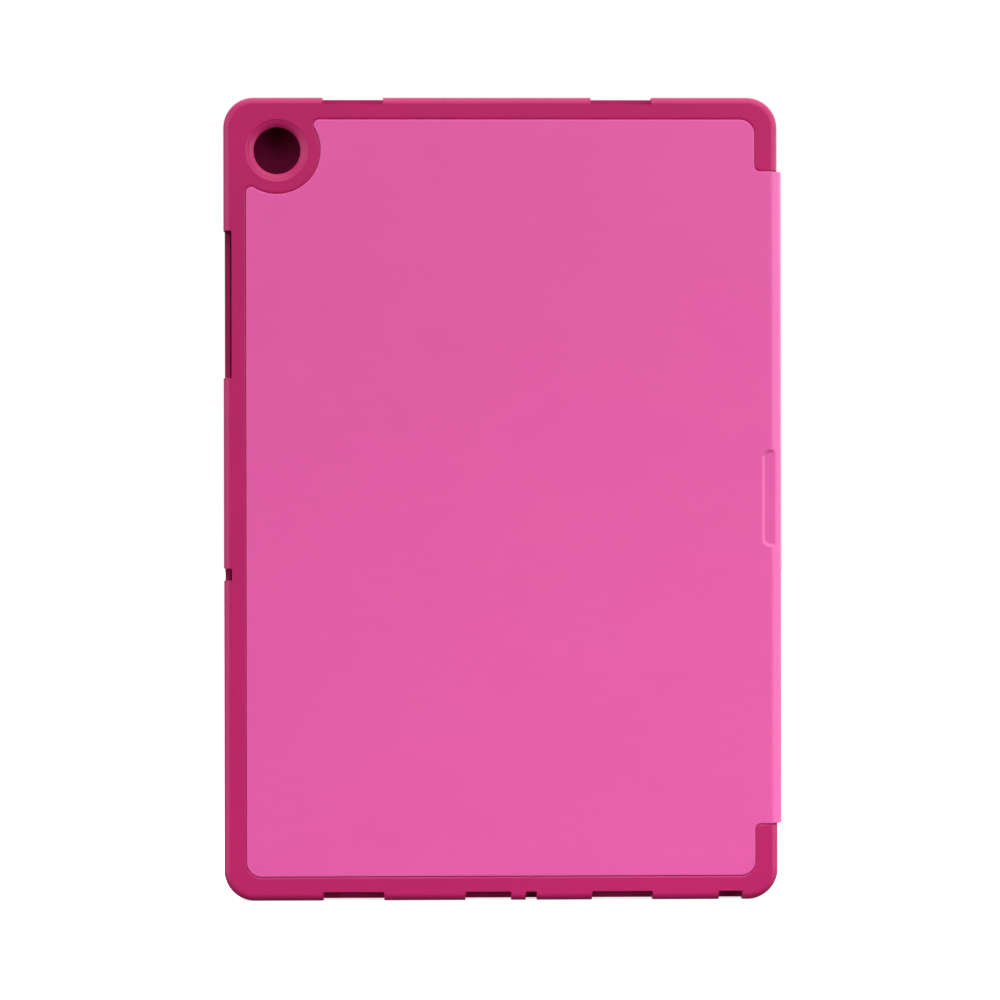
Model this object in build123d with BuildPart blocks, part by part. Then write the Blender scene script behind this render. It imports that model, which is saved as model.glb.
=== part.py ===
"""Tri-fold folio case for an 11-inch tablet.

A moulded tray holds the tablet. One die-cut sheet of synthetic leather is bonded to the back of the tray,
bends round the long side as a stiffened spine, and goes on as a front cover of three stiff panels.
The case stands on its short bottom edge: +X runs towards the spine, +Y from the back to the front cover, +Z up.
The origin is the middle of the overall width and thickness, at the bottom edge. Millimetres.
"""

import os

from build123d import *

# ---- Driving dimensions -------------------------------------------------------------------------------

tablet_w, tablet_h, tablet_t = 167.0, 256.0, 7.4

shell_w, shell_h = 179.4, 260.0  # outline of the tray
shell_corner_r = 9.9
wall_t = 1.75
back_edge_r = 2.5
front_edge_r = 0.5
lip_t, lip_overhang = 1.1, 0.9

leather_t = 0.8
adhesive_t = 0.1
lining_t = 0.5
panel_board_t = 1.1
spine_board_t = 0.8
spine_stand_out = 1.5  # how far the spine stands out beyond the tray's outline

# Depths are measured from the outer face of the back leather towards the front cover.
border_depth = 0.15  # the tray's border lies just under the leather's face
recess_floor = leather_t + adhesive_t
pocket_floor = 2.1
lip_depth = pocket_floor + tablet_t + 0.1
rim_depth = lip_depth + lip_t
cover_gap = 0.3
lining_depth = rim_depth + cover_gap
board_depth = lining_depth + lining_t
skin_depth = board_depth + panel_board_t
overall_t = skin_depth + leather_t

overall_w = shell_w + spine_stand_out
x_left = -overall_w / 2
y_back = -overall_t / 2
shell_right = x_left + shell_w
spine_face = x_left + overall_w
shell_cx = x_left + shell_w / 2
shell_cz = shell_h / 2

# Back leather
leather_left, leather_right = x_left + 7.5, shell_right - 7.5
leather_bottom, leather_top = 8.0, shell_h - 7.4
leather_corner_r = 4.7
neck_bottom, neck_top = 24.7, shell_h - 24.15
neck_h = neck_top - neck_bottom
neck_inner_r = 1.8
leather_tip_r = 1.7
recess_gap = 0.35
adhesive_inset = 0.4

# Camera ring
camera_x, camera_z = x_left + 17.45, shell_h - 17.3
camera_ring_r = 14.17
camera_funnel_r = 9.85
camera_hole_r = 7.57
camera_hole_wall = 0.6

# Tablet pocket, divider and stylus channel
tablet_cx = x_left + 85.4
pocket_play = 0.15
pocket_right = tablet_cx + tablet_w / 2 + pocket_play
pocket_corner_r = shell_corner_r - wall_t
spine_wall_inset = 1.0  # the wall beside the spine is set in, to make room for it
spine_wall_face = shell_right - spine_wall_inset
spine_wall_t = 1.4
divider_t = 0.9
channel_left = pocket_right + divider_t
channel_right = spine_wall_face - spine_wall_t
channel_bottom, channel_top = 48.0, 212.0
rib_t = 1.2
end_pocket_margin = 9.0
finger_gap_h, finger_gap_w = 30.6, 4.7
tab_length, tab_overhang = 18.0, 0.8
tab_heights = (30.0, 90.0, 170.0, 230.0)

# Cut-outs in the walls: places along the edge, measured from the tray's left edge or from its bottom
speaker_places, speaker_w = (41.9, 128.8), 19.7
port_place, port_w = 85.4, 14.8
bottom_mic_place, mic_w = 99.3, 3.6
jack_place, jack_w = 163.9, 7.7
button_bottom, button_top = shell_h - 90.9, shell_h - 43.2
side_mic_place, side_mic_w = shell_h - 154.35, 3.9
top_bite, bottom_bite, side_bite = 2.5, 3.0, 2.8  # how far each cut-out reaches into the back
cut_front = 7.6  # depth where the cut-outs stop, leaving the front rim whole
jack_tunnel = 5.6  # the plug's way in, past the pocket's rounded corner

# Spine and the round creases on each side of it
rear_crease_r = 4.2
front_crease_r = 3.2
spine_start = rear_crease_r
spine_end = overall_t - front_crease_r
spine_board_margin = 0.4
rear_lining_start = 20.0  # degrees round the rear crease

# Front cover
cover_bottom, cover_top = 0.8, shell_h - 0.8
cover_h = cover_top - cover_bottom
cover_cz = shell_cz
cover_left = x_left + 0.5
cover_right = spine_face - front_crease_r
cover_corner_r = 9.4
fold_corner_r = 1.5
crease_w = 6.0
crease_pivot_below = 1.3  # fold axes lie this far under the cover's face
skin_border = 2.6  # leather and lining meet outside each board's edge
fold_border = 0.8  # the same beside a fold
board_corner_r = 1.0
triangle_slack = 3.5  # the edge panel is shorter by this, so that the stand's triangle closes

# Magnets
bar_w, bar_l = 5.0, 20.0
bar_heights = (55.0, 130.0, 205.0)
bar_from_edge = 6.2
wake_magnet_r = 4.5
wake_magnet_from_edge, wake_magnet_z = 15.0, 168.0
magnet_play = 0.1

# Hinge axes, all parallel to Z
rear_pivot_in = 1.0
front_pivot_in = front_crease_r - (front_crease_r - leather_t / 2) * 2**-0.5
rear_axis = (spine_face - rear_pivot_in, y_back + rear_pivot_in)
front_axis = (spine_face - front_pivot_in, y_back + overall_t - front_pivot_in)
panel_pitch = (front_axis[0] - cover_left + triangle_slack) / 3
fold_1_x = front_axis[0] - panel_pitch
fold_2_x = fold_1_x - panel_pitch
fold_y = y_back + overall_t - crease_pivot_below

hinge_panel_span = (fold_1_x + crease_w / 2, cover_right)
middle_panel_span = (fold_2_x + crease_w / 2, fold_1_x - crease_w / 2)
edge_panel_span = (cover_left, fold_2_x - crease_w / 2)

os.makedirs("parts", exist_ok=True)


# ---- Helpers ------------------------------------------------------------------------------------------


def at_depth(depth):
    """Plane parallel to the back, facing backwards; a negative extrusion goes towards the front cover."""
    return Plane(origin=(0, y_back + depth, 0), x_dir=(1, 0, 0), z_dir=(0, -1, 0))


def save(builder, name):
    builder.part.label = name
    export_step(builder.part, f"parts/{name}.step")


def span_rectangle(x_span, z_span, mode=Mode.ADD):
    """A plain rectangle between two places along X and two along Z."""
    with Locations(((x_span[0] + x_span[1]) / 2, (z_span[0] + z_span[1]) / 2)):
        Rectangle(x_span[1] - x_span[0], z_span[1] - z_span[0], mode=mode)


def round_corners(sketch, places_and_radii):
    """Rounds the sketch's corners nearest to the given places."""
    for place, radius in places_and_radii:
        fillet(sketch.vertices().sort_by_distance((*place, 0))[0], radius)


def leather_outline(sketch, grow, neck_end):
    """The back leather: a rounded panel cut round the camera ring, and a neck that leads to the spine."""
    left, right = leather_left - grow, leather_right + grow
    bottom, top = leather_bottom - grow, leather_top + grow
    ring_r = camera_ring_r - grow
    span_rectangle((left, right), (bottom, top))
    span_rectangle((right - leather_corner_r, neck_end), (neck_bottom - grow, neck_top + grow))
    with Locations((camera_x, camera_z)):
        Circle(ring_r, mode=Mode.SUBTRACT)
    with Locations((left, top)):
        Rectangle(camera_x - left, top - camera_z, align=(Align.MIN, Align.MAX), mode=Mode.SUBTRACT)
    tip_x = camera_x + (ring_r**2 - (top - camera_z) ** 2) ** 0.5
    tip_z = camera_z - (ring_r**2 - (camera_x - left) ** 2) ** 0.5
    round_corners(
        sketch,
        [
            ((left, bottom), leather_corner_r + grow),
            ((right, bottom), leather_corner_r + grow),
            ((right, top), leather_corner_r + grow),
            ((right, neck_bottom - grow), neck_inner_r - grow),
            ((right, neck_top + grow), neck_inner_r - grow),
            ((tip_x, top), leather_tip_r + grow),
            ((left, tip_z), leather_tip_r + grow),
        ],
    )


def panel_outline(sketch, x_span, z_inset, left_r, right_r):
    """One panel of the front cover, with its own radius for the corners on each side."""
    left, right = x_span
    bottom, top = cover_bottom + z_inset, cover_top - z_inset
    span_rectangle((left, right), (bottom, top))
    corners = [((x, z), r) for x, r in ((left, left_r), (right, right_r)) for z in (bottom, top)]
    round_corners(sketch, corners)


# ---- Rear shell: the moulded tray ---------------------------------------------------------------------

with BuildPart() as moulding:
    # Solid block with a soft back edge
    with BuildSketch(at_depth(border_depth)):
        with Locations((shell_cx, shell_cz)):
            RectangleRounded(shell_w, shell_h, shell_corner_r)
    extrude(amount=-(rim_depth - border_depth))
    fillet(moulding.faces().sort_by(Axis.Y)[0].edges(), back_edge_r)
    fillet(moulding.faces().sort_by(Axis.Y)[-1].edges(), front_edge_r)

    # Set-in wall beside the spine
    with BuildSketch(at_depth(0)):
        span_rectangle(
            (spine_wall_face, shell_right + 1), (neck_bottom - recess_gap, neck_top + recess_gap)
        )
    extrude(amount=-rim_depth, mode=Mode.SUBTRACT)

    # Recess for the back leather
    with BuildSketch(at_depth(0)) as recess:
        leather_outline(recess, recess_gap, shell_right + 1)
    extrude(amount=-recess_floor, mode=Mode.SUBTRACT)
    spine_corner = (spine_wall_face, y_back + recess_floor, shell_cz)
    fillet(moulding.edges().filter_by(Axis.Z).sort_by_distance(spine_corner)[0], back_edge_r)

    # Tablet pocket, its mouth inside the lip
    with BuildSketch(at_depth(pocket_floor)):
        with Locations(((x_left + wall_t + pocket_right) / 2, shell_cz)):
            RectangleRounded(pocket_right - x_left - wall_t, shell_h - 2 * wall_t, pocket_corner_r)
    extrude(amount=-(lip_depth - pocket_floor), mode=Mode.SUBTRACT)
    mouth_left, mouth_inset = x_left + wall_t + lip_overhang, wall_t + lip_overhang
    with BuildSketch(at_depth(lip_depth)):
        with Locations(((mouth_left + pocket_right) / 2, shell_cz)):
            RectangleRounded(
                pocket_right - mouth_left, shell_h - 2 * mouth_inset, pocket_corner_r - lip_overhang
            )
    extrude(amount=-lip_t, mode=Mode.SUBTRACT)

    # Stylus channel and the hollows above and below it, all beside the spine wall
    with BuildSketch(at_depth(pocket_floor)):
        span_rectangle((channel_left, channel_right), (channel_bottom, channel_top))
        span_rectangle((channel_left, channel_right), (end_pocket_margin, channel_bottom - rib_t))
        span_rectangle(
            (channel_left, channel_right), (channel_top + rib_t, shell_h - end_pocket_margin)
        )
    extrude(amount=-(rim_depth - pocket_floor), mode=Mode.SUBTRACT)

    # Snap tabs on the divider, over the tablet's edge
    with BuildSketch(at_depth(lip_depth)):
        for z in tab_heights:
            span_rectangle(
                (pocket_right - tab_overhang, pocket_right + divider_t / 2),
                (z - tab_length / 2, z + tab_length / 2),
            )
    extrude(amount=-lip_t)

    # Finger gap: the rear half of the spine wall is cut away at mid height, under the leather
    with BuildSketch(at_depth(0)):
        span_rectangle(
            (shell_right - finger_gap_w, shell_right + 1),
            (shell_cz - finger_gap_h / 2, shell_cz + finger_gap_h / 2),
        )
    extrude(amount=-cut_front, mode=Mode.SUBTRACT)

    # Camera hole: a funnel that ends in a short cylinder
    with BuildSketch(Plane.XY.offset(camera_z)):
        with BuildLine():
            hole_start = y_back + pocket_floor - camera_hole_wall
            Polyline(
                (camera_x, y_back),
                (camera_x + camera_funnel_r, y_back),
                (camera_x + camera_funnel_r, y_back + border_depth),
            )
            ThreePointArc(
                (camera_x + camera_funnel_r, y_back + border_depth),
                (
                    camera_x + (camera_funnel_r + camera_hole_r) / 2 - 0.12,
                    (y_back + border_depth + hole_start) / 2 - 0.12,
                ),
                (camera_x + camera_hole_r, hole_start),
            )
            Polyline(
                (camera_x + camera_hole_r, hole_start),
                (camera_x + camera_hole_r, y_back + pocket_floor + 1),
                (camera_x, y_back + pocket_floor + 1),
                (camera_x, y_back),
            )
        make_face()
    revolve(axis=Axis((camera_x, 0, camera_z), (0, 1, 0)), mode=Mode.SUBTRACT)

    # Cut-outs for the speakers, sockets, buttons and microphones
    with BuildSketch(at_depth(0)):
        for place in speaker_places:
            middle = x_left + place
            half = speaker_w / 2
            span_rectangle((middle - half, middle + half), (shell_h - top_bite, shell_h + 1))
        for place, width in (
            *((place, speaker_w) for place in speaker_places),
            (port_place, port_w),
            (bottom_mic_place, mic_w),
            (jack_place, jack_w),
        ):
            middle = x_left + place
            span_rectangle((middle - width / 2, middle + width / 2), (-1, bottom_bite))
        side_span = (x_left - 1, x_left + side_bite)
        span_rectangle(side_span, (button_bottom, button_top))
        span_rectangle(
            side_span, (side_mic_place - side_mic_w / 2, side_mic_place + side_mic_w / 2)
        )
    extrude(amount=-cut_front, mode=Mode.SUBTRACT)
    with BuildSketch(at_depth(pocket_floor)):
        jack_x = x_left + jack_place
        span_rectangle((jack_x - jack_w / 2, jack_x + jack_w / 2), (-1, jack_tunnel))
    extrude(amount=-(cut_front - pocket_floor), mode=Mode.SUBTRACT)

# The moulding is one piece. It is stored as simple solids that meet face to face, its floor and the
# lengths of its rim, so that each one's collision hulls keep the pocket and the channel open.
rim_cuts_x = (x_left + shell_corner_r, pocket_right - pocket_corner_r, channel_left, channel_right)
rim_cuts_z = (shell_corner_r, shell_h - shell_corner_r)

floor_plane = at_depth(pocket_floor)
tray_floor = split(moulding.part, bisect_by=floor_plane, keep=Keep.TOP)
rim_lengths = split(moulding.part, bisect_by=floor_plane, keep=Keep.BOTTOM).solids()
for cut in (*(Plane.YZ.offset(x) for x in rim_cuts_x), *(Plane.XY.offset(z) for z in rim_cuts_z)):
    rim_lengths = split(rim_lengths, bisect_by=cut, keep=Keep.BOTH).solids()
rear_shell = Compound(label="rear_shell", children=[*tray_floor.solids(), *rim_lengths])
export_step(rear_shell, "parts/rear_shell.step")

# ---- Back leather and its adhesive --------------------------------------------------------------------

with BuildPart() as back_leather:
    with BuildSketch(at_depth(0)) as outline:
        leather_outline(outline, 0, spine_face - rear_crease_r)
    extrude(amount=-leather_t)
save(back_leather, "back_leather")

with BuildPart() as back_adhesive:
    with BuildSketch(at_depth(leather_t)) as outline:
        leather_outline(outline, -adhesive_inset, spine_wall_face - back_edge_r)
    extrude(amount=-adhesive_t)
save(back_adhesive, "back_adhesive")

# ---- Creases beside the spine: strips bent through a quarter turn --------------------------------------

rear_centre = (spine_face - rear_crease_r, y_back + rear_crease_r)
front_centre = (spine_face - front_crease_r, y_back + spine_end)
crease_strips = {
    "rear_crease_leather": (rear_centre, rear_crease_r, leather_t, -90, 0),
    "rear_crease_lining": (
        rear_centre, rear_crease_r - leather_t, lining_t, -90 + rear_lining_start, 0
    ),
    "front_crease_leather": (front_centre, front_crease_r, leather_t, 0, 90),
    "front_crease_lining": (front_centre, front_crease_r - leather_t, lining_t, 0, 90),
}
for name, (centre, outer_r, thickness, start, end) in crease_strips.items():
    with BuildPart() as crease:
        with BuildSketch(Plane.XY.offset(neck_bottom)):
            with BuildLine():
                outer_arc = CenterArc(centre, outer_r, start, end - start)
                inner_arc = CenterArc(centre, outer_r - thickness, start, end - start)
                Line(outer_arc @ 0, inner_arc @ 0)
                Line(outer_arc @ 1, inner_arc @ 1)
            make_face()
        extrude(amount=neck_h)
    save(crease, name)

# ---- Spine: three flat layers ---------------------------------------------------------------------------

spine_board_face = spine_face - leather_t
spine_lining_face = spine_board_face - spine_board_t
spine_layers = {
    "spine_leather": (spine_face, leather_t, 0),
    "spine_board": (spine_board_face, spine_board_t, spine_board_margin),
    "spine_lining": (spine_lining_face, lining_t, 0),
}
for name, (outer_x, thickness, margin) in spine_layers.items():
    with BuildPart() as layer:
        with BuildSketch(Plane.XY.offset(neck_bottom + margin)):
            with Locations((outer_x, y_back + spine_start + margin)):
                Rectangle(
                    thickness,
                    spine_end - spine_start - 2 * margin,
                    align=(Align.MAX, Align.MIN),
                )
        extrude(amount=neck_h - 2 * margin)
    save(layer, name)

# ---- Front cover: three panels, each a leather pan over a board, with a lining ------------------------

panels = {  # place along X, corner radii and board borders, left then right
    "hinge_panel": (hinge_panel_span, (fold_corner_r, cover_corner_r), (fold_border, skin_border)),
    "middle_panel": (middle_panel_span, (fold_corner_r, fold_corner_r), (fold_border, fold_border)),
    "edge_panel": (edge_panel_span, (cover_corner_r, fold_corner_r), (skin_border, fold_border)),
}
closure_bars_x = cover_left + bar_from_edge
stand_bars_x = cover_right - bar_from_edge
wake_magnet_x = cover_left + wake_magnet_from_edge
magnet_bars = {"hinge_panel": stand_bars_x, "edge_panel": closure_bars_x}


def bar_sketch(x, play, mode=Mode.ADD):
    """The outlines of a row of bar magnets, or of the slots that they sit in."""
    with Locations(*((x, z) for z in bar_heights)):
        Rectangle(bar_w + 2 * play, bar_l + 2 * play, mode=mode)


for panel_name, (x_span, radii, borders) in panels.items():
    board_span = (x_span[0] + borders[0], x_span[1] - borders[1])
    board_radii = [max(r - skin_border, board_corner_r) for r in radii]
    with BuildPart() as panel_leather:
        with BuildSketch(at_depth(board_depth)) as outline:
            panel_outline(outline, x_span, 0, *radii)
        extrude(amount=-(overall_t - board_depth))
        with BuildSketch(at_depth(board_depth)) as outline:
            panel_outline(outline, board_span, skin_border, *board_radii)
        extrude(amount=-panel_board_t, mode=Mode.SUBTRACT)
    save(panel_leather, f"{panel_name}_leather")

    with BuildPart() as panel_board:
        with BuildSketch(at_depth(board_depth)) as outline:
            panel_outline(outline, board_span, skin_border, *board_radii)
            if panel_name in magnet_bars:
                bar_sketch(magnet_bars[panel_name], magnet_play, Mode.SUBTRACT)
            if panel_name == "edge_panel":
                with Locations((wake_magnet_x, wake_magnet_z)):
                    Circle(wake_magnet_r + magnet_play, mode=Mode.SUBTRACT)
        extrude(amount=-panel_board_t)
    save(panel_board, f"{panel_name}_board")

    with BuildPart() as panel_lining:
        with BuildSketch(at_depth(lining_depth)) as outline:
            panel_outline(outline, x_span, 0, *radii)
        extrude(amount=-lining_t)
    save(panel_lining, f"{panel_name}_lining")

# ---- Creases between the panels -----------------------------------------------------------------------

for fold_name, fold_x in (("fold_1", fold_1_x), ("fold_2", fold_2_x)):
    crease_span = (fold_x - crease_w / 2, fold_x + crease_w / 2)
    crease_heights = (cover_bottom + fold_corner_r / 2, cover_top - fold_corner_r / 2)
    with BuildPart() as fold_leather:
        with BuildSketch(at_depth(board_depth)):
            span_rectangle(crease_span, crease_heights)
        extrude(amount=-leather_t)
    save(fold_leather, f"{fold_name}_leather")

    with BuildPart() as fold_lining:
        with BuildSketch(at_depth(lining_depth)):
            span_rectangle(crease_span, crease_heights)
        extrude(amount=-lining_t)
    save(fold_lining, f"{fold_name}_lining")

# ---- Magnets, let into the boards ---------------------------------------------------------------------

with BuildPart() as stand_magnets:
    with BuildSketch(at_depth(board_depth)):
        bar_sketch(stand_bars_x, 0)
    extrude(amount=-panel_board_t)
save(stand_magnets, "stand_magnets")

with BuildPart() as closure_magnets:
    with BuildSketch(at_depth(board_depth)):
        bar_sketch(closure_bars_x, 0)
    extrude(amount=-panel_board_t)
save(closure_magnets, "closure_magnets")

with BuildPart() as wake_magnet:
    with BuildSketch(at_depth(board_depth)):
        with Locations((wake_magnet_x, wake_magnet_z)):
            Circle(wake_magnet_r)
    extrude(amount=-panel_board_t)
save(wake_magnet, "wake_magnet")

print("rear hinge axis x, y:", [round(v, 3) for v in rear_axis])
print("front hinge axis x, y:", [round(v, 3) for v in front_axis])
print("fold axes x:", round(fold_1_x, 3), round(fold_2_x, 3), "y:", round(fold_y, 3))
print("overall:", round(overall_w, 2), round(overall_t, 2), shell_h, "y_back:", round(y_back, 3))
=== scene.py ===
import math

import bmesh
import bpy
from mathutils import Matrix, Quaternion, Vector


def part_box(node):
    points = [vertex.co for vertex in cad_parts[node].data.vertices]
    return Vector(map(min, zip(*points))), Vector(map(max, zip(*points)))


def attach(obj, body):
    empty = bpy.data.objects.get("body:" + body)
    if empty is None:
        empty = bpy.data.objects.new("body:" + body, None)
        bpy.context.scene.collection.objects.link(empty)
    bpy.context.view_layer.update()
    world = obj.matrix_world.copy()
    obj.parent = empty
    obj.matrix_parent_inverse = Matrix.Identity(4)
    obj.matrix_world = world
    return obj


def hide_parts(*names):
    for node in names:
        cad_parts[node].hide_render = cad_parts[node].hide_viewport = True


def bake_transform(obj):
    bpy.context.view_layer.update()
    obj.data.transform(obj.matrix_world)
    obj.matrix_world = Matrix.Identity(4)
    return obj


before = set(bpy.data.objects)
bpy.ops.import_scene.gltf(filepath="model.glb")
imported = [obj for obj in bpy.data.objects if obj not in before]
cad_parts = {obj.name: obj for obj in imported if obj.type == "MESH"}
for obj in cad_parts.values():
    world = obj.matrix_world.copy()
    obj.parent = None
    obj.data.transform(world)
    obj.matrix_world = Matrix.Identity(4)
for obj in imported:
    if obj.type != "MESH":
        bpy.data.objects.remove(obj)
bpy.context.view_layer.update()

MM = 0.001


def node_box(node):
    """Lowest and highest corner of a CAD node, in millimetres."""
    low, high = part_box(node)
    return [round(c / MM, 3) for c in low], [round(c / MM, 3) for c in high]


# ---- Places, in millimetres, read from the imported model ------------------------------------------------

(shell_left, shell_back, shell_bottom), (shell_right, shell_front, shell_top) = node_box("rear_shell")
(leather_left, y_back, leather_bottom), (crease_x, leather_inner, leather_top) = node_box("back_leather")
(_, _, neck_bottom), (spine_face, _, neck_top) = node_box("spine_leather")
(_, _, cover_bottom), (cover_right, y_front, cover_top) = node_box("hinge_panel_leather")
(cover_left, _, _), _ = node_box("edge_panel_leather")
(_, lining_y, _), (_, board_y, _) = node_box("hinge_panel_lining")
boards = [node_box(f"{panel}_board") for panel in ("hinge_panel", "middle_panel", "edge_panel")]
folds_x = [(low[0] + high[0]) / 2 for low, high in map(node_box, ("fold_1_leather", "fold_2_leather"))]
fold_width = node_box("fold_1_leather")[1][0] - node_box("fold_1_leather")[0][0]

leather_t = leather_inner - y_back
lining_t = board_y - lining_y
board_right = boards[0][1][0]
panel_board_t = boards[0][1][1] - boards[0][0][1]
spine_board_t = spine_face - leather_t - node_box("spine_board")[0][0]
middle_z = (shell_bottom + shell_top) / 2

# ---- Details that the boxes don't give, in millimetres -------------------------------------------------

panel_right = shell_right - 7.5  # the wide part of the back leather ends here, the neck goes on
shell_corner_r, back_edge_r, front_edge_r, cut_edge_r = 9.9, 2.5, 0.5, 0.14
wall_t, lip_t, lip_overhang = 1.75, 1.1, 0.9
recess_gap, recess_depth = 0.35, leather_t + 0.1
leather_gap, rim_width, rim_depth = 0.08, 0.95, 0.42  # the plastic rolls down softly to the leather's edge
pocket_floor_y = y_back + 2.1
lip_y = shell_front - lip_t
camera_x, camera_z = shell_left + 17.45, shell_top - 17.3
camera_ring_r, camera_funnel_r, camera_hole_r, camera_hole_wall = 14.17, 9.85, 7.57, 0.6
leather_corner_r, leather_tip_r, neck_inner_r = 4.7, 1.7, 1.8
pocket_right = shell_left + 85.4 + 83.65
divider_t = 0.9
spine_wall_face = shell_right - 1.0
channel = (pocket_right + divider_t, spine_wall_face - 1.4)
channel_ends = (48.0, 212.0)
rib_t, end_margin = 1.2, 9.0
tab_heights, tab_length, tab_overhang = (30.0, 90.0, 170.0, 230.0), 18.0, 0.8
finger_gap_w, finger_gap_h = 4.7, 30.6
cut_front_y = y_back + 7.6
speaker_places, speaker_w = (41.9, 128.8), 19.7
jack_place, jack_w, jack_tunnel = 163.9, 7.7, 5.6
bottom_places = ((85.4, 14.8), (99.3, 3.6), (jack_place, jack_w))  # middle from the left side, width
side_places = ((169.1, 216.8), (103.7, 107.6))  # lower and upper end
top_bite, bottom_bite, side_bite, slot_r = 2.5, 3.0, 2.8, 0.35
cover_corner_r, board_border = 9.4, 2.6


# ---- Small helpers -------------------------------------------------------------------------------------


def smooth(low, high, value):
    """0 below low, 1 above high, and an S-curve between."""
    t = min(max((value - low) / (high - low), 0.0), 1.0)
    return t * t * (3 - 2 * t)


def box_distance(x, z, x_span, z_span, r):
    """Signed distance from a rounded rectangle, negative inside."""
    px = abs(x - (x_span[0] + x_span[1]) / 2) - (x_span[1] - x_span[0]) / 2 + r
    pz = abs(z - (z_span[0] + z_span[1]) / 2) - (z_span[1] - z_span[0]) / 2 + r
    return math.hypot(max(px, 0), max(pz, 0)) + min(max(px, pz), 0) - r


def arc(cx, cz, r, start, end, hollow=False, steps=None):
    """One rounded corner of an outline.

    A hollow corner goes clockwise, and its radius grows as the outline shrinks.
    """
    if steps is None:
        steps = max(2, round(abs(end - start) / (6 if r > 5 else 12)))
    return cx, cz, r, start, end, -1 if hollow else 1, steps


def ring(arcs, inset=0.0):
    """The points of an outline made of arcs, moved inwards by inset."""
    points = []
    for cx, cz, r, start, end, sign, steps in arcs:
        reach = r - sign * inset
        for i in range(steps + 1):
            angle = math.radians(start + (end - start) * i / steps)
            points.append((cx + reach * math.cos(angle), cz + reach * math.sin(angle)))
    return points


def rounded_box(x0, x1, z0, z1, r, steps=None):
    return [
        arc(x0 + r, z0 + r, r, 180, 270, steps=steps),
        arc(x1 - r, z0 + r, r, 270, 360, steps=steps),
        arc(x1 - r, z1 - r, r, 0, 90, steps=steps),
        arc(x0 + r, z1 - r, r, 90, 180, steps=steps),
    ]


def make_object(name, bm):
    mesh = bpy.data.meshes.new(name)
    bm.to_mesh(mesh)
    bm.free()
    made = bpy.data.objects.new(name, mesh)
    bpy.context.scene.collection.objects.link(made)
    return made


def shade(piece, angle=38):
    for polygon in piece.data.polygons:
        polygon.use_smooth = True
    piece.data.set_sharp_from_angle(angle=math.radians(angle))


# ---- The moulded tray: a soft-edged block with everything cut out of it ---------------------------------


def loft(name, sections):
    """A closed solid through outlines of equal length, each given as (y, points), from back to front."""
    bm = bmesh.new()
    rings = [[bm.verts.new((x * MM, y * MM, z * MM)) for x, z in points] for y, points in sections]
    for a, b in zip(rings, rings[1:]):
        for i in range(len(a)):
            j = (i + 1) % len(a)
            bm.faces.new((a[i], a[j], b[j], b[i]))
    bm.faces.new(rings[0][::-1])
    bm.faces.new(rings[-1])
    bmesh.ops.recalc_face_normals(bm, faces=bm.faces)
    return make_object(name, bm)


def pin(name, points, z0, z1):
    """A closed prism along Z over a section in X and Y."""
    bm = bmesh.new()
    low = [bm.verts.new((x * MM, y * MM, z0 * MM)) for x, y in points]
    high = [bm.verts.new((x * MM, y * MM, z1 * MM)) for x, y in points]
    for i in range(len(low)):
        j = (i + 1) % len(low)
        bm.faces.new((low[i], low[j], high[j], high[i]))
    bm.faces.new(low[::-1])
    bm.faces.new(high)
    bmesh.ops.recalc_face_normals(bm, faces=bm.faces)
    return make_object(name, bm)


def by_depth(section):
    return section[0]


def round_edge(radius, steps):
    """Pairs of (inset, depth) round a quarter circle, from the flat face's rim to the side."""
    for i in range(steps + 1):
        a = math.pi / 2 * i / steps
        yield radius * (1 - math.sin(a)), radius * (1 - math.cos(a))


def leather_arcs(neck_end, neck_r=0.3):
    """Outline of the back leather in X and Z: a rounded panel, cut round the camera, and the neck to the spine."""
    left, right, bottom, top = leather_left, panel_right, leather_bottom, leather_top
    r, tip, inner = leather_corner_r, leather_tip_r, neck_inner_r
    reach = camera_ring_r + tip
    tip_1 = (camera_x + math.sqrt(reach**2 - (top - tip - camera_z) ** 2), top - tip)
    tip_2 = (left + tip, camera_z - math.sqrt(reach**2 - (left + tip - camera_x) ** 2))
    angle_1 = math.degrees(math.atan2(tip_1[1] - camera_z, tip_1[0] - camera_x))
    angle_2 = math.degrees(math.atan2(tip_2[1] - camera_z, tip_2[0] - camera_x))
    return [
        arc(left + r, bottom + r, r, 180, 270),
        arc(right - r, bottom + r, r, 270, 360),
        arc(right + inner, neck_bottom - inner, inner, 180, 90, hollow=True),
        arc(neck_end - neck_r, neck_bottom + neck_r, neck_r, 270, 360),
        arc(neck_end - neck_r, neck_top - neck_r, neck_r, 0, 90),
        arc(right + inner, neck_top + inner, inner, 270, 180, hollow=True),
        arc(right - r, top - r, r, 0, 90),
        arc(*tip_1, tip, 90, angle_1 + 180, steps=9),
        arc(camera_x, camera_z, camera_ring_r, angle_1, angle_2, hollow=True, steps=38),
        arc(*tip_2, tip, angle_2 + 180, 180, steps=9),
    ]


def block_sections():
    outline = rounded_box(shell_left, shell_right, shell_bottom, shell_top, shell_corner_r, steps=20)
    back = [(shell_back + depth, ring(outline, inset)) for inset, depth in round_edge(back_edge_r, 10)]
    front = [(shell_front - depth, ring(outline, inset)) for inset, depth in round_edge(front_edge_r, 4)]
    return sorted(back, key=by_depth) + sorted(front, key=by_depth)


def straight(outline, y0, y1):
    """Sections of a prism along Y."""
    points = ring(outline)
    return [(y0, points), (y1, points)]


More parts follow.
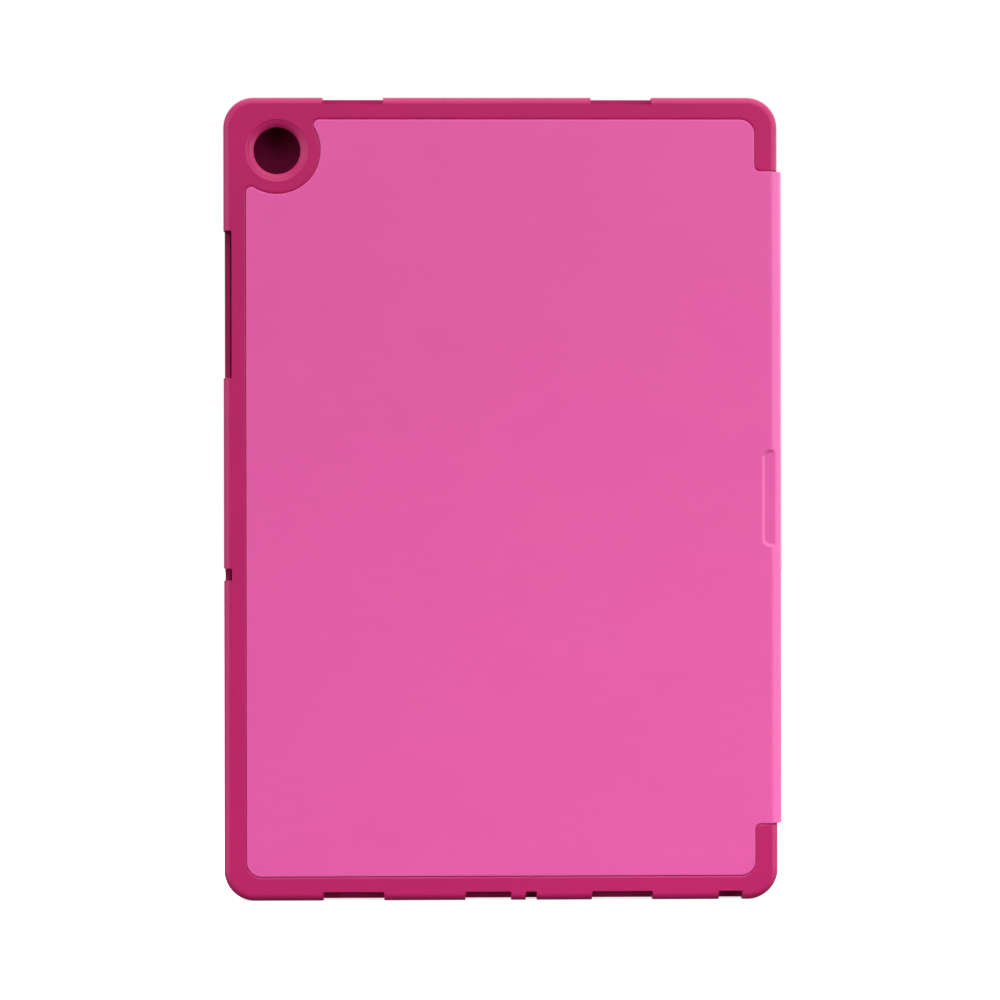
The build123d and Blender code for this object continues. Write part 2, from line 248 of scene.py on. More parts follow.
def make_cutters():
    """What is cut from the block, one solid at a time. Each runs 1 to 6 mm past the block where it is open."""
    yield loft("cut_spine_wall", straight(
        rounded_box(spine_wall_face, shell_right + 3, neck_bottom - recess_gap, neck_top + recess_gap, 0.3, 3),
        shell_back - 2, shell_front + 2))

    outline = leather_arcs(shell_right + 6, 1.0)
    floor_y = y_back + recess_depth
    rims = sorted(
        ((shell_back + depth * rim_depth, ring(outline, -leather_gap - reach * rim_width))
         for reach, depth in round_edge(1.0, 6)), key=by_depth)
    yield loft("cut_recess", [(shell_back - 1, rims[0][1])] + rims + [(floor_y, ring(outline, -leather_gap))])

    r = back_edge_r
    corner = [(spine_wall_face + 1, floor_y - 1), (spine_wall_face - r, floor_y - 1)]
    for i in range(11):
        a = math.radians(270 + 9 * i)
        corner.append((spine_wall_face - r + r * math.cos(a), floor_y + r + r * math.sin(a)))
    corner.append((spine_wall_face + 1, floor_y + r))
    yield pin("cut_spine_corner", corner, neck_bottom - recess_gap, neck_top + recess_gap)

    pocket = rounded_box(shell_left + wall_t, pocket_right, wall_t, shell_top - wall_t, shell_corner_r - wall_t, 18)
    floor_edge = [(pocket_floor_y + depth, ring(pocket, inset)) for inset, depth in round_edge(0.8, 4)]
    yield loft("cut_pocket", sorted(floor_edge, key=by_depth) + [(lip_y, ring(pocket))])

    yield loft("cut_mouth", straight(mouth_arcs(), lip_y - 1.5, shell_front + 2))

    for low, high in (channel_ends, (end_margin, channel_ends[0] - rib_t),
                      (channel_ends[1] + rib_t, shell_top - end_margin)):
        yield loft("cut_channel", straight(
            rounded_box(*channel, low, high, 0.8, 4), pocket_floor_y, shell_front + 2))

    half = finger_gap_h / 2
    yield loft("cut_finger", straight(
        rounded_box(shell_right - finger_gap_w, shell_right + 4, middle_z - half, middle_z + half, 1.2, 5),
        y_back - 2, cut_front_y))

    slots = []
    speakers = [(place, speaker_w) for place in speaker_places]
    for places, z_span in ((speakers, (shell_top - top_bite, shell_top + 3)),
                           ((*speakers, *bottom_places), (-3, bottom_bite))):
        for place, width in places:
            slots.append((shell_left + place - width / 2, shell_left + place + width / 2, *z_span))
    for low, high in side_places:
        slots.append((shell_left - 3, shell_left + side_bite, low, high))
    for slot_box in slots:
        yield loft("cut_slot", straight(rounded_box(*slot_box, slot_r, 3), y_back - 2, cut_front_y))
    jack_x = shell_left + jack_place
    hair = 0.02  # keeps this cut's sides off those of the port's own
    yield loft("cut_jack", straight(
        rounded_box(jack_x - jack_w / 2 + hair, jack_x + jack_w / 2 - hair, -3, jack_tunnel, slot_r, 3),
        pocket_floor_y, cut_front_y - hair))

    yield funnel()


def mouth_arcs():
    """The tray's mouth inside the lip, with the snap tabs standing into it on the divider's side."""
    left, low, high = shell_left + wall_t + lip_overhang, wall_t + lip_overhang, shell_top - wall_t - lip_overhang
    r, tab_r = shell_corner_r - wall_t - lip_overhang, 0.3
    right = pocket_right + 0.01
    arcs = [arc(left + r, low + r, r, 180, 270, steps=16), arc(right - r, low + r, r, 270, 360, steps=16)]
    for z in tab_heights:
        z0, z1 = z - tab_length / 2, z + tab_length / 2
        inner = right - tab_overhang
        arcs += [
            arc(right - tab_r, z0 - tab_r, tab_r, 0, 90, steps=3),
            arc(inner + tab_r, z0 + tab_r, tab_r, 270, 180, hollow=True, steps=3),
            arc(inner + tab_r, z1 - tab_r, tab_r, 180, 90, hollow=True, steps=3),
            arc(right - tab_r, z1 + tab_r, tab_r, 270, 360, steps=3),
        ]
    return arcs + [arc(right - r, high - r, r, 0, 90, steps=16), arc(left + r, high - r, r, 90, 180, steps=16)]


def funnel():
    """The camera hole: a rounded funnel that ends in a short cylinder."""
    hole_y = pocket_floor_y - camera_hole_wall
    profile = [(camera_funnel_r + 0.35, shell_back - 1), (camera_funnel_r + 0.35, shell_back)]
    profile += [(camera_funnel_r + 0.12, shell_back + 0.05), (camera_funnel_r, shell_back + 0.15)]
    for i in range(1, 9):
        t = i / 8
        bow = 0.16 * math.sin(math.pi * t)
        profile.append((camera_funnel_r + (camera_hole_r - camera_funnel_r) * t - bow,
                        shell_back + 0.15 + (hole_y - shell_back - 0.15) * t - bow))
    profile.append((camera_hole_r, pocket_floor_y + 1))
    turns = [2 * math.pi * i / 72 for i in range(72)]
    return loft("cut_camera", [
        (y, [(camera_x + r * math.cos(a), camera_z + r * math.sin(a)) for a in turns]) for r, y in profile])


def make_shell():
    shell = loft("tray_shell", block_sections())
    for cutter in make_cutters():
        cut = shell.modifiers.new("cut", "BOOLEAN")
        cut.operation, cut.solver, cut.object = "DIFFERENCE", "EXACT", cutter
        done = bpy.data.meshes.new_from_object(shell.evaluated_get(bpy.context.evaluated_depsgraph_get()))
        shell.modifiers.clear()
        shell.data = done
        bpy.data.objects.remove(cutter)
    bm = bmesh.new()
    bm.from_mesh(shell.data)
    bmesh.ops.remove_doubles(bm, verts=bm.verts, dist=0.004 * MM)
    bmesh.ops.dissolve_limit(bm, angle_limit=math.radians(0.3), verts=bm.verts, edges=bm.edges)
    hard = [e for e in bm.edges if len(e.link_faces) == 2 and e.calc_face_angle() > math.radians(40)]
    bmesh.ops.bevel(bm, geom=hard, offset=cut_edge_r * MM, offset_type="OFFSET", segments=2, profile=0.5,
                    affect="EDGES", clamp_overlap=True)
    bmesh.ops.remove_doubles(bm, verts=bm.verts, dist=0.002 * MM)
    slivers = [f for f in bm.faces if f.calc_area() < 1e-4 * MM ** 2]
    hanging = [f for f in slivers if any(len(e.link_faces) == 1 for e in f.edges)]
    bmesh.ops.delete(bm, geom=hanging, context="FACES")
    bm.to_mesh(shell.data)
    bm.free()
    shell.data.name = "tray_shell"
    shade(shell, 45)
    weighted = shell.modifiers.new("weighted", "WEIGHTED_NORMAL")
    weighted.keep_sharp, weighted.weight = True, 80
    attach(shell, "tray")
    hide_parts("rear_shell")
    return shell


# ---- The sheets: leather and lining, made flat and then bent along the case's section -------------------

# Along the sheet, u is 0 where the back turns into the rear crease, and grows round the spine to the cover's edge.
rear_r, front_r = spine_face - crease_x, spine_face - cover_right
rear_y, front_y = y_back + rear_r, y_front - front_r
u_spine = rear_r * math.pi / 2
u_front = u_spine + front_y - rear_y
u_cover = u_front + front_r * math.pi / 2


def u_at(x):
    """Place along the sheet of a place across the front cover. cover_x is the way back."""
    return u_cover + cover_right - x


def cover_x(u):
    return u_cover + cover_right - u


def bend(u, h):
    """Place in X and Y of a point h outside the case's face, u along it."""
    if u < 0:
        return crease_x + u, y_back - h
    if u < u_spine:
        a = u / rear_r - math.pi / 2
        return crease_x + (rear_r + h) * math.cos(a), rear_y + (rear_r + h) * math.sin(a)
    if u < u_front:
        return spine_face + h, rear_y + u - u_spine
    if u < u_cover:
        a = (u - u_front) / front_r
        return cover_right + (front_r + h) * math.cos(a), front_y + (front_r + h) * math.sin(a)
    return cover_x(u), y_front + h


seam_u = (u_spine + u_front) / 2
lining_seam_u = u_front - 0.5  # the lining's seam lies further on, near the end of the spine
u_end = u_at(cover_left)


def back_arcs():
    """The back part of the leather, in u and z, running past the seam in the middle of the spine."""
    moved = []
    for cx, cz, r, start, end, sign, steps in leather_arcs(crease_x + seam_u + 4):
        moved.append((cx - crease_x, cz, r, start, end, sign, steps))
    return moved


def cover_arcs(seam, inset=0.0):
    """The front part, in u and z, from before the seam in the spine to the cover's free edge."""
    start, inner, r = seam - 4, 1.2, cover_corner_r
    low, high = neck_bottom + inset, neck_top - inset
    return [
        arc(start + 0.3, low + 0.3, 0.3, 180, 270),
        arc(u_cover - inner, low - inner, inner, 90, 0, hollow=True),
        arc(u_cover + r, cover_bottom + r, r, 180, 270),
        arc(u_end - r, cover_bottom + r, r, 270, 360),
        arc(u_end - r, cover_top - r, r, 0, 90),
        arc(u_cover + r, cover_top - r, r, 90, 180),
        arc(u_cover - inner, high + inner, inner, 0, -90, hollow=True),
        arc(start + 0.3, high - 0.3, 0.3, 90, 180),
    ]


def spine_lining_arcs():
    start, end = rear_r * math.radians(20), lining_seam_u + 4
    return rounded_box(start, end, neck_bottom + 0.1, neck_top - 0.1, 0.4)


def lines(start, end, step):
    """Evenly spaced places from start to end, about a step apart."""
    count = max(1, round((end - start) / step))
    return [start + (end - start) * i / count for i in range(count + 1)]


def sheet_piece(name, arcs, insets, u_lines, z_lines, span, outer, inner):
    """A closed sheet, with its flat size and area.

    outer and inner give the height of each face above the case's own, at (u, z, distance from the edge).
    """
    bm = bmesh.new()
    edge = bm.verts.layers.float.new("edge")
    rings = []
    for inset in insets:
        made = []
        for u, z in ring(arcs, inset):
            vert = bm.verts.new((u, z, 0))
            vert[edge] = inset
            made.append(vert)
        rings.append(made)
    for a, b in zip(rings, rings[1:]):
        for i in range(len(a)):
            j = (i + 1) % len(a)
            bm.faces.new((a[i], a[j], b[j], b[i]))
    bm.faces.new(rings[-1])
    bmesh.ops.remove_doubles(bm, verts=bm.verts, dist=1e-4)

    def cut(place, along, clear=0):
        bmesh.ops.bisect_plane(
            bm, geom=bm.verts[:] + bm.edges[:] + bm.faces[:], dist=1e-5, plane_co=place, plane_no=along,
            clear_outer=clear > 0, clear_inner=clear < 0)

    for end, clear in zip(span, (-1, 1)):
        if end is not None:
            cut((end, 0, 0), (1, 0, 0), clear)
    low = min(v.co.x for v in bm.verts)
    high = max(v.co.x for v in bm.verts)
    for u in sorted(set(round(u, 4) for u in u_lines)):
        if low + 0.02 < u < high - 0.02:
            cut((u, 0, 0), (1, 0, 0))
    for z in sorted(set(round(z, 4) for z in z_lines)):
        cut((0, z, 0), (0, 1, 0))
    area = sum(f.calc_area() for f in bm.faces) * MM * MM
    flat = ((high - low) * MM, (max(v.co.y for v in bm.verts) - min(v.co.y for v in bm.verts)) * MM)

    uv = bm.loops.layers.uv.new("flat")
    places = {v: (v.co.x, v.co.y, v[edge]) for v in bm.verts}
    top_faces = list(bm.faces)
    under = {v: bm.verts.new((0, 0, 0)) for v in places}
    rim_edges = [(e.link_loops[0].vert, e.link_loops[0].link_loop_next.vert) for e in bm.edges if e.is_boundary]
    both = {}
    for v, place in places.items():
        both[v] = both[under[v]] = place
    for face in top_faces:
        bm.faces.new([under[v] for v in reversed(face.verts)])
    for a, b in rim_edges:
        bm.faces.new((b, a, under[a], under[b]))
    for face in bm.faces:
        for loop in face.loops:
            loop[uv].uv = both[loop.vert][0] * MM, both[loop.vert][1] * MM
    for v, (u, z, d) in places.items():
        x, y = bend(u, outer(u, z, d))
        v.co = x * MM, y * MM, z * MM
        x, y = bend(u, inner(u, z, d))
        under[v].co = x * MM, y * MM, z * MM
    bmesh.ops.recalc_face_normals(bm, faces=bm.faces)
    piece = make_object(name, bm)
    shade(piece)
    return piece, flat, area


rounding = 0.24  # radius of the leather's cut edges


def edge_drop(d, r=rounding):
    """How far the surface falls at a distance d from a rounded edge."""
    return 0.0 if d >= r else r - math.sqrt(max(r * r - (r - d) ** 2, 0.0))


press_depth = 0.45
press_left = -1.95  # where the pressed finger mark starts on the back, before the rear crease


def finger_press(u, z):
    """The shallow flat that is pressed into the leather over the finger gap."""
    half = finger_gap_h / 2
    inside = box_distance(u, z, (press_left, 30), (middle_z - half, middle_z + half), 2.2)
    weight = 1 - smooth(-0.55, 0.55, inside)
    if weight == 0:
        return 0.0
    if u <= 0:
        return weight * press_depth
    a = u / rear_r
    if a > 1.2:
        return 0.0
    return weight * max(0.0, rear_r - (rear_r - press_depth) / math.cos(a))


def wave(u, z):
    """A very slight unevenness of the bonded leather."""
    return 0.016 * math.sin(0.071 * u + 1.3) * math.sin(0.053 * z + 0.4) + 0.010 * math.sin(0.19 * u + 0.11 * z)


def spine_groove(offset):
    """The narrow line pressed into the leather along each edge of the spine's board."""
    return 0.10 * math.exp(-((offset / 0.28) ** 2))


def back_outer(u, z, d):
    calm = 1 - smooth(-12, -4, u)
    return wave(u, z) * calm - edge_drop(d) - finger_press(u, z) - spine_groove(u - u_spine - 0.1)


def back_inner(u, z, d):
    return -leather_t


flange_drop = panel_board_t - 0.02  # the leather beside the boards nearly meets the lining
board_spans = [((low[0], high[0]), (low[2], high[2])) for low, high in boards]


def board_gap(x, z):
    """Distance from the nearest board of the cover, negative over it."""
    full = box_distance(x, z, (cover_left + board_border, cover_right - board_border),
                        (cover_bottom + board_border, cover_top - board_border), cover_corner_r - board_border)
    nearest = min(box_distance(x, z, *span, 1.0) for span in board_spans)
    return max(full, nearest)


def pressed(u, z):
    """How far the cover's leather lies below its pads: round the boards and along the folds."""
    ramp = smooth(0.1, 1.55, board_gap(cover_x(u), z)) if u > u_cover else 1.0
    drop = flange_drop * ramp * smooth(u_front + 1.2, u_cover - 0.6, u)
    if cover_x(u) > board_right:
        ramp_z = neck_bottom + 0.2, neck_bottom + 2.8
        neck = smooth(*ramp_z, z) * smooth(*ramp_z, neck_top + neck_bottom - z)
        along = min(max((cover_x(u) - board_right) / (cover_right - board_right), 0), 1)
        groove = 0.38 * math.sin(math.pi * along) ** 2 if u > u_cover else 0.0
        drop = drop * (1 - neck) + groove * neck
    return drop


def cover_outer(u, z, d):
    calm = smooth(u_at(board_right) + 1, u_at(board_right) + 9, u)
    over_board = 1 - smooth(-1, 0.3, board_gap(cover_x(u), z))
    return wave(u, z) * calm * over_board - edge_drop(d) - pressed(u, z) - spine_groove(u - u_front + 0.1)


def cover_inner(u, z, d):
    return -leather_t - pressed(u, z)


def lining_step(u):
    """How far the lining's hidden face lies inside the leather's, where a board is between them."""
    spine = spine_board_t * smooth(u_spine - 1.6, u_spine + 0.35, u) * (1 - smooth(u_front - 0.35, u_front + 1.6, u))
    board = panel_board_t * smooth(u_cover - 0.2, u_at(board_right) - 0.15, u)
    return spine + board


def lining_mark(u, z):
    """Soft lines that the heated press leaves in the lining beside the folds and round the cover."""
    if u < u_cover + 1:
        return 0.0
    x = cover_x(u)
    beside = min(abs(abs(x - fold) - 3.1) for fold in folds_x)
    around = box_distance(x, z, (cover_left, cover_right), (cover_bottom, cover_top), cover_corner_r) + 2.4
    return 0.11 * math.exp(-((beside / 0.45) ** 2)) + 0.09 * math.exp(-((around / 0.4) ** 2))


def lining_outer(u, z, d):
    return -leather_t - lining_step(u) - 0.02


def lining_relief(u):
    """Where the press thins the lining over the creases and folds, so that it clears the plastic when they bend."""
    if u < u_cover + 1:
        return 0.30 * smooth(u_front - 1.6, u_front - 0.7, u) * (1 - smooth(u_cover, u_cover + 1, u))
    beside = min(abs(cover_x(u) - fold) for fold in folds_x)
    return 0.24 * (1 - smooth(1.2, 2.6, beside))


def lining_inner(u, z, d):
    depth = -leather_t - lining_step(u) - lining_t + lining_mark(u, z) + lining_relief(u)
    return depth + edge_drop(d, 0.16)


# Where the sheets are divided: rows inside the outline, then lines across u and z, close where a sheet bends.
edge_insets = (0, 0.02, 0.07, 0.15, rounding, 0.46)
lining_insets = (0, 0.05, 0.16, 0.4)
cover_insets = edge_insets + (0.8, 1.05, 1.25, 1.45, 1.65, 1.85, 2.05, 2.25, 2.5, 2.8)
crease_u = lines(0, u_spine, rear_r * math.radians(6)) + lines(u_front, u_cover, front_r * math.radians(7.5))
spine_u = lines(u_spine - 0.6, u_spine + 0.9, 0.15) + lines(u_front - 0.9, u_front + 0.6, 0.15) + [seam_u]
finger_ends_z = (middle_z - finger_gap_h / 2, middle_z + finger_gap_h / 2)
press_z = [z for end in finger_ends_z for z in lines(end - 2.6, end + 2.6, 0.26)]
neck_ramp_z = lines(neck_bottom, neck_bottom + 3, 0.3) + lines(neck_top - 3, neck_top, 0.3)
coarse_z = lines(cover_bottom + 12, cover_top - 12, 11.8)
fold_u = [u for x in folds_x for u in lines(u_at(x) - 4.2, u_at(x) + 4.2, 0.35)]
hinge_edge_u = lines(u_cover, u_at(board_right) + 0.6, 0.2)
panel_u = [u for low, high in boards for u in lines(u_at(high[0]) + 1.5, u_at(low[0]) - 1.5, 11)]
cuts_u = [u_at((low[0] + high[0]) / 2) for low, high in boards[:2]]

leather_pieces, lining_pieces = [], []


def add_sheet(name, kind, bodies, start, end, replaced, arcs, insets, u_lines, z_lines, span, outer, inner):
    piece, flat, area = sheet_piece(name, arcs, insets, u_lines, z_lines, span, outer, inner)
    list(bodies)
    [c * MM for c in start]
    [c * MM for c in end]
    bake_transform(piece)
    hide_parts(*replaced)
    (leather_pieces if kind == "leather" else lining_pieces).append(piece)


def make_sheets():
    rear_span = ((crease_x, y_back, 0), (spine_face, rear_y, 0))
    front_span = ((spine_face, front_y, 0), (cover_right, y_front, 0))
    fold_y = y_front - 1.3
    fold_spans = [((x + fold_width / 2, fold_y, 0), (x - fold_width / 2, fold_y, 0)) for x in folds_x]
    cover_z = coarse_z + neck_ramp_z
    cover_u = crease_u + spine_u + hinge_edge_u + fold_u + panel_u

    back_u = lines(leather_left - crease_x + 3, -13, 11) + lines(-13, -3.4, 1.6)
    back_u += lines(-3.4, 0, 0.2) + lines(0, 2.4, 0.15)
    add_sheet("leather_back", "leather", ("tray", "spine"), *rear_span,
              ["back_leather", "rear_crease_leather", "spine_leather"],
              back_arcs(), edge_insets, crease_u + spine_u + back_u, coarse_z + press_z,
              (None, seam_u), back_outer, back_inner)
    add_sheet("lining_spine", "lining", ("tray", "spine"), *rear_span,
              ["rear_crease_lining", "spine_lining"],
              spine_lining_arcs(), lining_insets, crease_u + spine_u + lines(u_spine - 1.8, u_spine + 0.6, 0.2),
              coarse_z, (None, lining_seam_u), lining_outer, lining_inner)

    parts = [  # name, bodies, blend ends, nodes, span along the sheet
        ("hinge", ("spine", "hinge_panel"), front_span, ("front_crease", "hinge_panel"), (seam_u, cuts_u[0])),
        ("middle", ("hinge_panel", "middle_panel"), fold_spans[0], ("fold_1", "middle_panel"), tuple(cuts_u)),
        ("edge", ("middle_panel", "edge_panel"), fold_spans[1], ("fold_2", "edge_panel"), (cuts_u[1], None)),
    ]
    for part, bodies, (start, end), nodes, span in parts:
        add_sheet(f"leather_{part}", "leather", bodies, start, end, [f"{n}_leather" for n in nodes],
                  cover_arcs(seam_u), cover_insets, cover_u, cover_z, span, cover_outer, cover_inner)
        if part == "hinge":
            span = (lining_seam_u, span[1])
        add_sheet(f"lining_{part}", "lining", bodies, start, end, [f"{n}_lining" for n in nodes],
                  cover_arcs(lining_seam_u, 0.1), lining_insets + (1.6, 2.0, 2.4, 2.8, 3.2),
                  cover_u + lines(u_front - 0.6, u_front + 1.8, 0.2), coarse_z, span, lining_outer, lining_inner)


# ---- Materials -----------------------------------------------------------------------------------------


def add_node(tree, kind, inputs=None, **settings):
    """A shader node, with each input linked to a socket or set to a constant."""
    made = tree.nodes.new(kind)
    for key, value in settings.items():
        setattr(made, key, value)
    for key, value in (inputs or {}).items():
        if isinstance(value, bpy.types.NodeSocket):
            tree.links.new(value, made.inputs[key])
        else:
            made.inputs[key].default_value = value
    return made


class Graph:
    """A short way to write a node material."""

    def __init__(self, name):
        self.material = bpy.data.materials.new(name)
        self.material.use_nodes = True
        self.tree = self.material.node_tree
        self.shader = self.tree.nodes["Principled BSDF"]

    def node(self, kind, inputs=None, **settings):
        return add_node(self.tree, kind, inputs, **settings)

    def coordinates(self, uv, scale, turn=0.0):
        if uv:
            source = self.node("ShaderNodeUVMap", uv_map="flat").outputs["UV"]
        else:
            source = self.node("ShaderNodeTexCoord").outputs["Object"]
        mapping = self.node("ShaderNodeMapping", {"Vector": source, "Scale": scale, "Rotation": (0, 0, turn)})
        return mapping.outputs["Vector"]

    def noise(self, vector, scale=1.0, detail=2.0, roughness=0.5, distortion=0.0):
        return self.node("ShaderNodeTexNoise", {
            "Vector": vector, "Scale": scale, "Detail": detail, "Roughness": roughness, "Distortion": distortion,
        }).outputs["Fac"]

    def spread(self, value, low, high):
        """Maps noise, which keeps to about 0.3 to 0.7, to a range."""
        return self.node("ShaderNodeMapRange", {
            "Value": value, "From Min": 0.3, "From Max": 0.7, "To Min": low, "To Max": high,
        }).outputs["Result"]

    def mix(self, factor, a, b):
        made = self.node("ShaderNodeMix", data_type="RGBA")
        for key, value in (("Factor", factor), ("A", a), ("B", b)):
            socket = next(s for s in made.inputs
                          if s.name == key and (key == "Factor" or s.type == "RGBA") and s.enabled)
            if isinstance(value, bpy.types.NodeSocket):
                self.tree.links.new(value, socket)
            else:
                socket.default_value = value
        return next(s for s in made.outputs if s.type == "RGBA" and s.enabled)

    def bump(self, height, strength, distance, under=None):
        inputs = {"Height": height, "Strength": strength, "Distance": distance}
        if under is not None:
            inputs["Normal"] = under
        return self.node("ShaderNodeBump", inputs).outputs["Normal"]

    def finish(self, colour, roughness, normal, **constants):
        self.tree.links.new(colour, self.shader.inputs["Base Color"])
        self.tree.links.new(roughness, self.shader.inputs["Roughness"])
        self.tree.links.new(normal, self.shader.inputs["Normal"])
        for key, value in constants.items():
            self.shader.inputs[key.replace("_", " ")].default_value = value
        return self.material


def tone(colour, factor):
    return (*[min(c * factor, 1.0) for c in colour], 1.0)


def leather_material():
    g = Graph("case_leather")
    base = (0.790, 0.098, 0.385)
    streaks = g.noise(g.coordinates(True, (95, 1500, 1)), detail=3.5, roughness=0.6, distortion=0.35)
    hairs = g.noise(g.coordinates(True, (420, 5200, 1)), detail=2.0, roughness=0.6, distortion=0.5)
    clouds = g.noise(g.coordinates(True, (22, 30, 1)), detail=2.0)
    grain = g.noise(g.coordinates(True, (3800, 4600, 1)), detail=2.5, roughness=0.65)
    colour = g.mix(g.spread(streaks, 0, 1), tone(base, 0.978), tone(base, 1.022))
    colour = g.mix(g.spread(clouds, 0.0, 0.22), colour, (base[0] * 1.03, base[1] * 1.35, base[2] * 1.06, 1))
    normal = g.bump(grain, 0.28, 0.00006)
    normal = g.bump(streaks, 0.22, 0.00010, normal)
    normal = g.bump(hairs, 0.20, 0.00005, normal)
    return g.finish(colour, g.spread(streaks, 0.40, 0.48), normal, Specular_IOR_Level=0.6)


def shell_material():
    g = Graph("moulded_plastic")
    base = (0.500, 0.018, 0.134)
    place = g.coordinates(False, (1, 1, 1))
    clouds = g.noise(place, scale=28, detail=2.0)
    erosion = g.noise(place, scale=2600, detail=2.0, roughness=0.6)
    soft = g.noise(place, scale=420, detail=1.0)
    colour = g.mix(g.spread(clouds, 0, 1), tone(base, 0.96), tone(base, 1.04))
    normal = g.bump(erosion, 0.16, 0.00005)
    normal = g.bump(soft, 0.10, 0.00008, normal)
    return g.finish(colour, g.spread(erosion, 0.34, 0.42), normal, Specular_IOR_Level=0.28)


def lining_material():
    g = Graph("microfibre_lining")
    base = (0.26, 0.009, 0.068)
    nap = g.noise(g.coordinates(True, (900, 1300, 1)), detail=4.0, roughness=0.7, distortion=0.6)
    brushed = g.noise(g.coordinates(True, (60, 95, 1), 0.5), detail=3.0, roughness=0.6)
    fibres = g.noise(g.coordinates(True, (5200, 2600, 1), 0.3), detail=2.0, roughness=0.7)
    colour = g.mix(g.spread(nap, 0, 1), tone(base, 0.86), tone(base, 1.14))
    colour = g.mix(g.spread(brushed, 0, 0.4), colour, tone(base, 1.25))
    normal = g.bump(fibres, 0.5, 0.00010)
    normal = g.bump(nap, 0.35, 0.00018, normal)
    return g.finish(colour, g.spread(nap, 0.88, 0.98), normal, Specular_IOR_Level=0.1, Sheen_Weight=0.12,
                    Sheen_Roughness=0.4, Sheen_Tint=(1.0, 0.45, 0.7, 1))


def plain_material(name, base, low, high, scale, bump, **constants):
    g = Graph(name)
    place = g.coordinates(False, (1, 1, 1))
    coarse = g.noise(place, scale=scale, detail=3.0)
    fine = g.noise(place, scale=scale * 14, detail=3.0, roughness=0.65)
    colour = g.mix(g.spread(fine, 0, 1), tone(base, 0.88), tone(base, 1.1))
    colour = g.mix(g.spread(coarse, 0, 0.3), colour, tone(base, 0.8))
    return g.finish(colour, g.spread(fine, low, high), g.bump(fine, bump, 0.0001), **constants)


def paint(piece, material):
    piece.data.materials.clear()
    piece.data.materials.append(material)


def dress_nodes():
    """Better materials for the CAD nodes that stay."""
    finishes = {
        "board": plain_material("grey_board", (0.36, 0.33, 0.30), 0.8, 0.95, 180, 0.4, Specular_IOR_Level=0.2),
        "magnet": plain_material("plated_magnet", (0.62, 0.61, 0.60), 0.22, 0.4, 240, 0.1, Metallic=1.0),
        "adhesive": plain_material("adhesive_film", (0.78, 0.74, 0.66), 0.35, 0.55, 90, 0.2),
    }
    for name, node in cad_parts.items():
        for key, material in finishes.items():
            for slot in node.material_slots if key in name else ():
                slot.material = material


# ---- Stage, light and camera ---------------------------------------------------------------------------


def make_stage():
    bm = bmesh.new()
    steps = [-4.0, -1.5, -0.5, 0.5, 1.5, 4.0]
    rows = [[bm.verts.new((x, y, -0.0002)) for x in steps] for y in steps]
    for a, b in zip(rows, rows[1:]):
        for i in range(len(steps) - 1):
            bm.faces.new((a[i], a[i + 1], b[i + 1], b[i]))
    floor = make_object("floor", bm)
    g = Graph("pale_floor")
    speckle = g.noise(g.coordinates(False, (1, 1, 1)), scale=60, detail=3.0)
    colour = g.mix(g.spread(speckle, 0, 1), (0.93, 0.93, 0.93, 1), (0.95, 0.95, 0.95, 1))
    paint(floor, g.finish(colour, g.spread(speckle, 0.75, 0.85), g.bump(speckle, 0.05, 0.001),
                          Specular_IOR_Level=0.2, Emission_Color=(1, 1, 1, 1), Emission_Strength=0.78))
    # The floor shows as a white sweep, and its glow doesn't light the object.
    floor.visible_diffuse = floor.visible_glossy = False


def area_light(name, place, target, size, radiance, spread=180):
    """A soft rectangular light of a given brightness, which the camera doesn't see."""
    data = bpy.data.lights.new(name, "AREA")
    data.shape, data.size, data.size_y = "RECTANGLE", *size
    data.energy, data.spread = radiance * math.pi * size[0] * size[1], math.radians(spread)
    lamp = bpy.data.objects.new(name, data)
    lamp.location = place
    lamp.rotation_mode = "QUATERNION"
    lamp.rotation_quaternion = (Vector(target) - Vector(place)).to_track_quat("-Z", "Y")
    lamp.visible_camera = False
    bpy.context.scene.collection.objects.link(lamp)


room_dim = 0.03
room_light = (  # direction, angles from it where the glow ends and where it is full, brightness
    ((0, 1, 0), 95, 35, 0.70),
    ((1, 0, 0.1), 70, 20, 1.6),
    ((-1, -0.5, 0.05), 42, 15, 2.5),
    ((0, 0.1, 1), 55, 20, 1.3),
    ((0.1, -0.62, 0.78), 40, 18, 1.8),
)


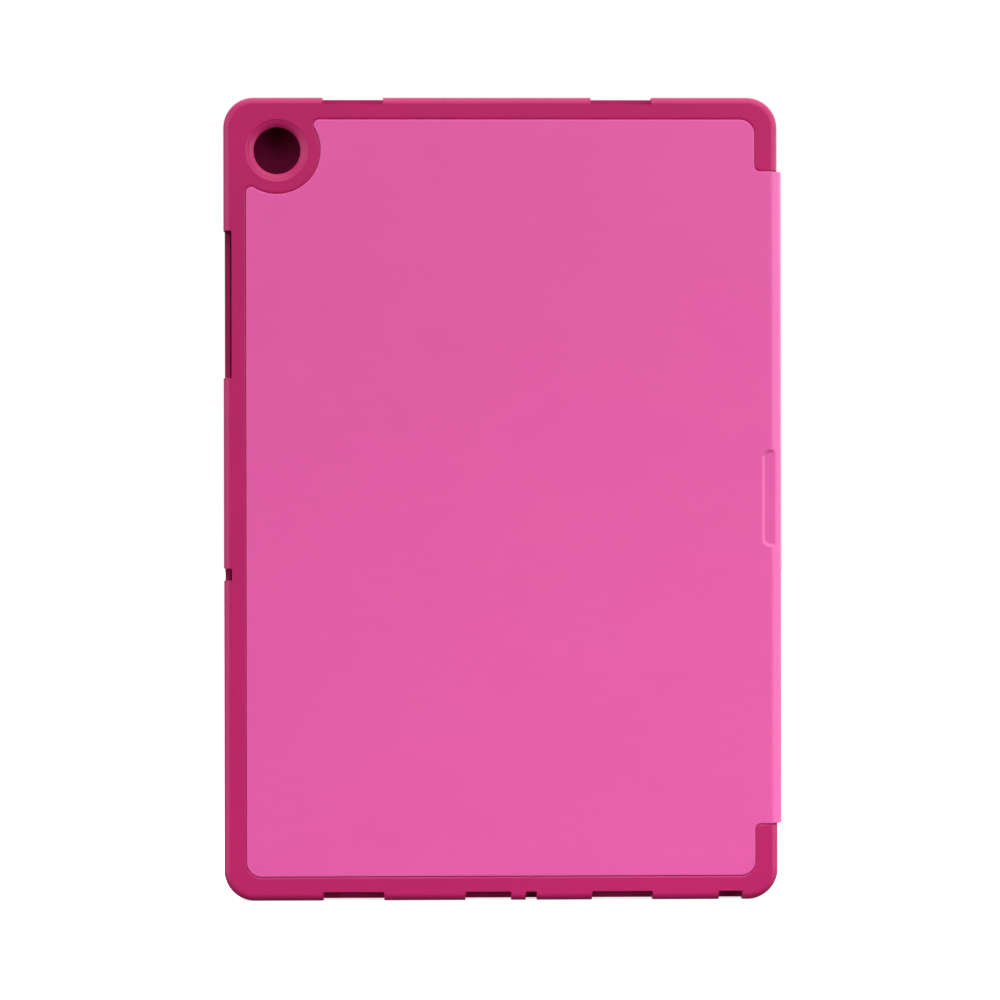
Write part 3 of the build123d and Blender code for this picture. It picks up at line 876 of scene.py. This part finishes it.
def make_world():
    """White where the camera looks at it. As a light, a dim room with soft glows, fading below the floor's level."""
    world = bpy.data.worlds.new("studio")
    bpy.context.scene.world = world
    world.use_nodes = True
    tree = world.node_tree
    tree.nodes.remove(tree.nodes["Background"])

    def node(kind, inputs=None, **settings):
        return add_node(tree, kind, inputs, **settings).outputs

    def background(strength):
        return node("ShaderNodeBackground", {"Color": (1, 1, 1, 1), "Strength": strength})[0]

    direction = node("ShaderNodeTexCoord")["Generated"]
    total = room_dim
    for aim, wide, narrow, level in room_light:
        dot = node("ShaderNodeVectorMath", {0: direction, 1: Vector(aim).normalized()}, operation="DOT_PRODUCT")
        part = node("ShaderNodeMapRange", {
            "Value": dot["Value"], "From Min": math.cos(math.radians(wide)),
            "From Max": math.cos(math.radians(narrow)), "To Min": 0.0, "To Max": level,
        }, interpolation_type="SMOOTHSTEP")[0]
        total = node("ShaderNodeMath", {0: total, 1: part}, operation="ADD")[0]
    height = node("ShaderNodeSeparateXYZ", {0: direction})
    above = node("ShaderNodeMapRange", {
        "Value": height["Z"], "From Min": -0.3, "From Max": 0.02, "To Min": 0.3, "To Max": 1.0,
    }, interpolation_type="SMOOTHSTEP")[0]
    total = node("ShaderNodeMath", {0: total, 1: above}, operation="MULTIPLY")[0]
    seen = node("ShaderNodeLightPath")["Is Camera Ray"]
    mixed = node("ShaderNodeMixShader", {0: seen, 1: background(total), 2: background(1.0)})[0]
    tree.links.new(mixed, tree.nodes["World Output"].inputs["Surface"])


def make_light():
    make_world()
    area_light("right_softbox", (0.78, -0.62, 0.13), (0, 0, 0.12), (0.6, 0.9), 2.55)
    area_light("low_fill", (0.08, -0.60, 0.50), (0.05, 0, -0.04), (0.40, 0.12), 0.28, spread=28)
    bpy.context.scene.view_settings.view_transform = "Standard"


def make_camera():
    data = bpy.data.cameras.new("camera")
    data.sensor_width, data.lens = 36, 96.9
    camera = bpy.data.objects.new("camera", data)
    target = Vector((-0.00107, y_back * MM, 0.1296))
    camera.location = target + Vector((-0.013, -0.870, 0))
    camera.rotation_mode = "QUATERNION"
    level = (target - camera.location).to_track_quat("-Z", "Y")
    camera.rotation_quaternion = level @ Quaternion((0, 0, 1), math.radians(-0.1))
    data.clip_start, data.clip_end = 0.05, 20
    bpy.context.scene.collection.objects.link(camera)
    bpy.context.scene.camera = camera


shell_piece = make_shell()
make_sheets()
paint(shell_piece, shell_material())
leather_look, lining_look = leather_material(), lining_material()
for made in leather_pieces:
    paint(made, leather_look)
for made in lining_pieces:
    paint(made, lining_look)
dress_nodes()
make_stage()
make_light()
make_camera()
